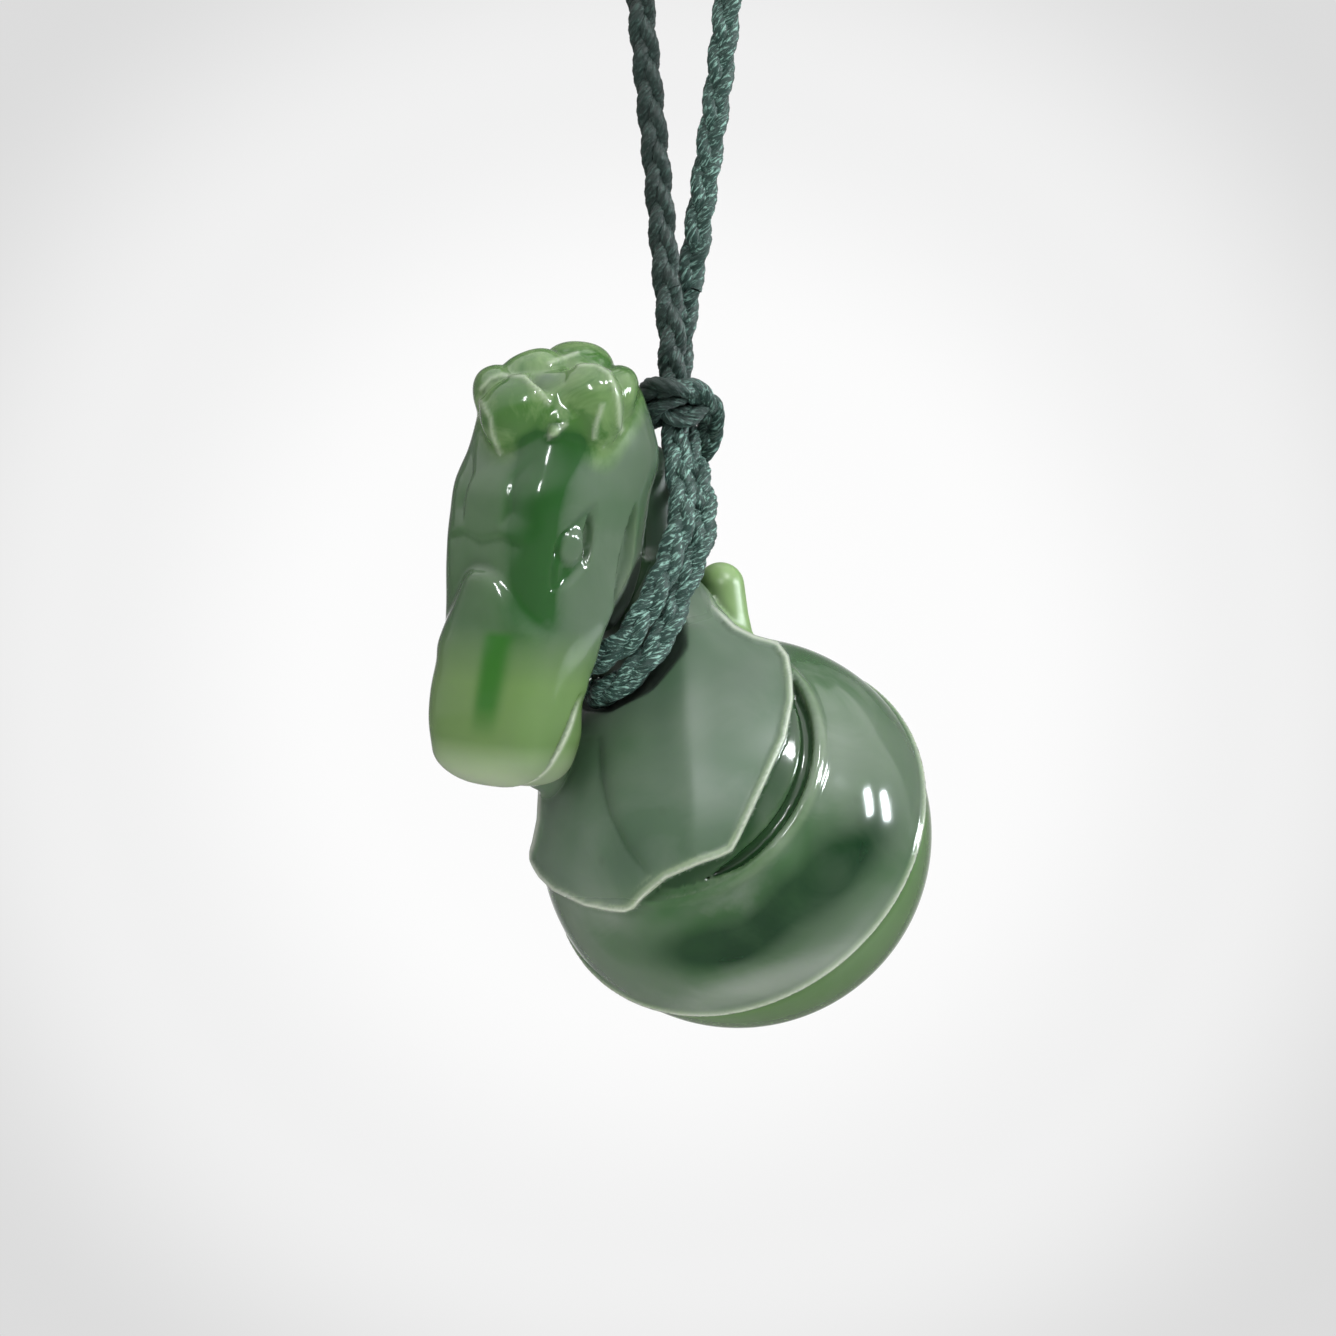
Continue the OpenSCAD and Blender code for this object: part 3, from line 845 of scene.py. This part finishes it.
def stone_marks(p, normal):
    """What the material needs at each vertex: thin places, hollows for painted shade, edges for painted
    light, and coloured zones with painted reflections and shade among them.
    """
    marks, lips = head_marks(p)
    px, py, pz = p.T
    x, y, z = local(p, SHELL_C, SHELL_AXES)
    from_shell = np.linalg.norm(p - SHELL_C, axis=1)
    thin = sum(0.5 * np.clip(1 + carving(p - normal * reach) / reach, 0, 1) for reach in (0.7, 1.6))
    hollow = np.clip(1 - carving(p + normal * 0.8) / 0.8, 0, 1)
    channel = np.clip(1 - (np.abs(throat_hole(px, py, pz)) - 0.1) / 0.15, 0, 1)
    back_lobe = np.clip(1.2 - lobe(px, py, pz) / 0.5, 0, 1) * (pz > -61)
    on_collar = np.clip(1 - np.abs(collar(p)) / 0.08, 0, 1)
    on_neck = np.clip(1.3 - np.abs(neck(px, py, pz)) / 0.5, 0, 1)
    # painted light: pale glowing lines along the shell's rim, the collar, the lips and the crest's folds
    shell_rim = np.exp(-((z + 0.12) / 0.12) ** 2) * np.clip((from_shell - SHELL_R) / 0.12, 0, 1)
    collar_rim = np.exp(-((outline_gap(px, pz, COLLAR) + 0.10) / 0.12) ** 2) * on_collar * (py < 2)
    folds = 0.55 * crest_ridge(p, 0.15) * (crest(p) < 0.15)
    edge = np.max([shell_rim, collar_rim, lips, folds], axis=0)
    rim_side = np.clip((-z - 0.3) / 0.5, 0, 1) * np.clip((from_shell - 10) / 1, 0, 1) * (from_shell < 13.5)
    # painted shade on the breast inside the lip, under the collar's edge
    breast = (np.hypot(x, y) < 8.55) * (z > 4) * (1 - on_collar) * (px > -2)
    shade = clouds_and_painted_light(p) - 0.75 * breast
    matt = np.max([on_neck * (1 - marks["head"]), on_collar * np.clip((pz + 76) / 2, 0, 1), 0.8 * back_lobe],
                  axis=0)
    return {**marks, "channel": channel, "dark_cloud_and_painted_shade": np.clip(-shade, 0, 1),
            "light_cloud_and_painted_sheen": np.clip(shade, 0, 1), "matt": matt, "thin": thin, "hollow": hollow,
            "top": np.clip(1.1 - crest(p) / 0.9, 0, 1), "lobe": back_lobe, "rim_side": rim_side, "edge": edge}


GREY, GREEN, MILKY = (0.078, 0.115, 0.074), (0.022, 0.075, 0.020), (0.110, 0.145, 0.105)
LIGHT_CLOUD_AND_SHEEN, DARK_CLOUD_AND_SHADE = (0.205, 0.240, 0.200), (0.006, 0.026, 0.009)
LEAF, LEAF_DARK = (0.135, 0.225, 0.080), (0.040, 0.115, 0.018)
BAND = (0.010, 0.058, 0.009)
THIN = (0.26, 0.33, 0.20)
FLECK = (0.030, 0.045, 0.025)


def jade_colour(s, place, veil):
    """Grey-green stone with clouds, painted reflections and painted shade, and its coloured zones one over
    another.
    """
    cloud = s.noise(place, 150, 4, 0.6, 1.0)
    broad = s.noise(place, 80, 3, 0.5, 0.8)
    body = s.mix(s.above(broad, 0.43, 4.0), GREY, GREEN)
    body = s.mix(s.above(cloud, 0.48, 3.0), body, MILKY)
    # clouds in the stone, with painted reflections, painted shade and painted sheen laid in among them
    wisp = s.math("ADD", s.times(cloud, 0.9), 0.3)
    body = s.mix(s.times(s.attribute("light_cloud_and_painted_sheen"), wisp, True), body, LIGHT_CLOUD_AND_SHEEN)
    body = s.mix(s.times(s.times(s.attribute("dark_cloud_and_painted_shade"), wisp), 1.3, True), body, DARK_CLOUD_AND_SHADE)
    body = s.zone(body, "head", 0.4, (0.052, 0.090, 0.050))
    body = s.zone(body, "matt", 0.45, (0.038, 0.076, 0.046))
    # greener towards the face, the back dome, the bill and the crest
    body = s.zone(body, "face", 0.55, (0.035, 0.092, 0.026))
    body = s.zone(body, "rim_side", 0.7, (0.085, 0.165, 0.050))
    body = s.zone(body, "bill", 0.85, (0.108, 0.180, 0.058))
    # painted reflection of the pale ground below, on the lower end of the bill
    body = s.zone(body, "tip", 0.75, (0.330, 0.390, 0.270))
    body = s.zone(body, "top", 0.85, s.mix(s.above(veil, 0.42, 5.0), LEAF, LEAF_DARK))
    body = s.zone(body, "lobe", 0.85, (0.190, 0.300, 0.110))
    ragged = s.math("ADD", s.attribute("band"), s.times(s.math("SUBTRACT", veil, 0.5), 1.2), True)
    band = s.times(s.times(ragged, s.attribute("band")), 1.4, True)
    body = s.mix(s.times(band, 0.92), body, BAND)
    body = s.zone(body, "stripe", 0.9, (0.014, 0.095, 0.006))
    # light gathers where the stone is thin
    body = s.mix(s.times(s.math("POWER", s.attribute("thin"), 2.8), 0.55, True), body, THIN)
    # painted light along the rims, the mouth and the crest's folds
    body = s.zone(body, "edge", 0.7, (0.46, 0.49, 0.41))
    # painted shade in hollows and creases, with polishing residue in them
    body = s.zone(body, "hollow", 0.6, (0.010, 0.040, 0.010))
    # painted shade inside the cord's way under the head
    body = s.zone(body, "channel", 0.85, (0.006, 0.014, 0.009))
    # small dark flecks
    cells = s.node("ShaderNodeTexVoronoi", {"Vector": place, "Scale": 260.0}, feature="F1")
    spots = s.times(s.math("SUBTRACT", 0.13, cells.outputs["Distance"], True), 9.0, True)
    some = s.above(s.noise(place, 120, 1), 0.56, 8.0)
    return s.mix(s.times(s.times(spots, some), 0.8), body, FLECK)


def jade_material():
    s = Shader("polished_jade")
    place = s.object_place()
    veil = s.noise(place, 230, 4, 0.62, 0.9)
    waves = s.node("ShaderNodeBump", {"Height": s.noise(place, 160, 2), "Strength": 0.05, "Distance": 0.0006})
    grain = s.node("ShaderNodeBump", {"Height": s.noise(place, 900, 5, 0.6), "Strength": 0.03,
                                      "Distance": 0.00005, "Normal": waves.outputs[0]})
    rough = s.math("ADD", s.math("ADD", s.times(veil, 0.08), 0.08), s.times(s.attribute("matt"), 0.30))
    rough = s.math("MAXIMUM", rough, s.times(s.attribute("channel"), 0.7))
    skin = s.node("ShaderNodeBsdfPrincipled", {
        "Base Color": jade_colour(s, place, veil), "Roughness": rough, "Normal": grain.outputs[0],
        "IOR": 1.61, "Specular IOR Level": 0.5, "Subsurface Weight": 0.25, "Subsurface Scale": 0.0012,
        "Subsurface Radius": (0.7, 1.0, 0.45)})
    return s.surface(skin.outputs[0])


def add_stone():
    field, step = sampled_field()
    verts, quads = surface_net(field, step)
    verts = settled(verts, step)
    normal = unit(slope(verts))
    mesh = bpy.data.meshes.new("jade_figurine")
    mesh.vertices.add(len(verts))
    mesh.vertices.foreach_set("co", (verts * MM).ravel())
    mesh.loops.add(quads.size)
    mesh.loops.foreach_set("vertex_index", quads.ravel())
    mesh.polygons.add(len(quads))
    mesh.polygons.foreach_set("loop_start", np.arange(0, quads.size, 4))
    mesh.update(calc_edges=True)
    mesh.validate()
    set_marks(mesh, stone_marks(verts, normal))
    mesh.shade_smooth()
    mesh.materials.append(jade_material())
    stone = placed("jade_figurine", mesh)
    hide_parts("jade_carving")
    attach(stone, "carving")
    print("stone faces:", len(quads))


# ---------------------------------------------------------------- stage and light

WALL_Y, WALL_TOP = 0.95, 1.1            # metres
FLOOR_Z, FLOOR_FRONT = -0.21, -1.4
CURVE_R = 0.10
SHEET_HALF = 1.6
POOL_AT = (-0.001, WALL_Y, -0.0607)     # middle of the pool of light on the wall
POOL_R = 0.48
POOL = [(0.0, 0.99), (0.11, 0.975), (0.20, 0.88), (0.30, 0.72), (0.6, 0.40), (1.0, 0.22)]


def grey_stops(stops):
    return [(place, (tone, tone, tone)) for place, tone in stops]


def add_stage():
    """One pale sheet: a floor that curves up into a wall, which glows with a painted pool of light, brightest
    behind the object.
    """
    profile = [(FLOOR_FRONT, FLOOR_Z)]
    profile += [(WALL_Y - CURVE_R + CURVE_R * sin(radians(a)), FLOOR_Z + CURVE_R - CURVE_R * cos(radians(a)))
                for a in range(0, 91, 6)]
    profile.append((WALL_Y, WALL_TOP))
    verts, faces = [], []
    for y, z in profile:
        verts += [(-SHEET_HALF, y, z), (SHEET_HALF, y, z)]
    for i in range(len(profile) - 1):
        faces.append((2 * i, 2 * i + 1, 2 * i + 3, 2 * i + 2))
    mesh = bpy.data.meshes.new("backdrop")
    mesh.from_pydata(verts, [], faces)
    mesh.shade_smooth()
    sheet = placed("backdrop", mesh)
    s = Shader("backdrop_painted_pool")
    from_pool = s.node("ShaderNodeVectorMath", {0: s.object_place(), 1: POOL_AT}, operation="SUBTRACT")
    apart = s.node("ShaderNodeVectorMath", {0: from_pool.outputs[0]}, operation="LENGTH").outputs["Value"]
    # painted light: the sheet glows in a pool, brightest behind the object
    tone = s.ramp(s.math("DIVIDE", apart, POOL_R), grey_stops(POOL))
    glow = s.node("ShaderNodeEmission", {"Color": tone, "Strength": 1.0}).outputs[0]
    mesh.materials.append(s.surface(glow))


LIGHT_AIM = Vector((0.0, 0.0, -0.066))


def add_light(name, toward, distance, size, power, colour=(1, 1, 1), mirrored=True):
    """A rectangular soft light that faces the middle of the shell."""
    data = bpy.data.lights.new(name, "AREA")
    data.shape = "RECTANGLE"
    data.size, data.size_y = size
    data.energy, data.color = power, colour
    lamp = placed(name, data)
    lamp.location = LIGHT_AIM + Vector(toward).normalized() * distance
    lamp.rotation_euler = (LIGHT_AIM - lamp.location).to_track_quat("-Z", "Y").to_euler()
    lamp.visible_glossy = mirrored
    lamp.visible_camera = False


def add_lights():
    add_light("window_a", (0.943, -0.183, 0.278), 0.60, (0.062, 0.13), 1.5, (0.90, 0.97, 1.0))
    add_light("window_b", (0.985, 0.10, 0.190), 0.60, (0.062, 0.12), 1.4, (0.90, 0.97, 1.0))
    add_light("window_front", (0.05, -0.9, 0.44), 0.60, (0.03, 0.15), 0.7, (0.95, 0.98, 1.0))
    add_light("window_high", (0.47, -0.51, 0.73), 0.60, (0.06, 0.08), 1.1, (0.95, 0.98, 1.0))
    add_light("soft_top", (0.45, -0.45, 0.95), 0.70, (0.5, 0.4), 1.8, mirrored=False)
    add_light("soft_left", (-0.9, -0.5, 0.1), 0.80, (0.5, 0.5), 0.8, mirrored=False)
    add_light("soft_right", (0.8, -0.7, -0.2), 0.80, (0.5, 0.5), 1.0, mirrored=False)
    add_light("soft_low", (-0.1, -0.45, -0.70), 0.16, (0.15, 0.15), 0.5, mirrored=False)


DARK_WAY = Vector((0.35, -0.52, -0.78)).normalized()      # the side that the stone reflects darkly


def add_world():
    """A dim room for reflections, lighter on top; what shows past the backdrop is plain and pale."""
    world = bpy.data.worlds.new("studio")
    bpy.context.scene.world = world
    s = Shader("studio", world)
    way = s.node("ShaderNodeTexCoord").outputs["Generated"]
    toward = s.node("ShaderNodeVectorMath", {0: way, 1: tuple(DARK_WAY)}, operation="DOT_PRODUCT")
    tone = s.ramp(toward.outputs["Value"], [(0.0, (0.60, 0.62, 0.60)), (0.30, (0.36, 0.38, 0.36)),
                                            (0.55, (0.09, 0.095, 0.09)), (0.9, (0.02, 0.022, 0.02))])
    high = s.node("ShaderNodeSeparateXYZ", {0: way}).outputs["Z"]
    lift = s.ramp(high, grey_stops([(0.0, 0.0), (0.45, 0.65), (1.0, 1.3)]))
    tone = s.mix(1.0, tone, lift, "ADD")
    sky = s.node("ShaderNodeBackground", {"Color": tone, "Strength": 0.75}).outputs[0]
    plain = s.node("ShaderNodeBackground", {"Color": (0.72, 0.72, 0.72, 1), "Strength": 1.0}).outputs[0]
    seen = s.node("ShaderNodeLightPath").outputs["Is Camera Ray"]
    both = s.node("ShaderNodeMixShader", {0: seen, 1: sky, 2: plain}).outputs[0]
    s.node("ShaderNodeOutputWorld", {"Surface": both})


bpy.context.scene.view_settings.view_transform = "Standard"
add_camera()
add_cords()
add_stage()
add_lights()
add_world()
add_stone()
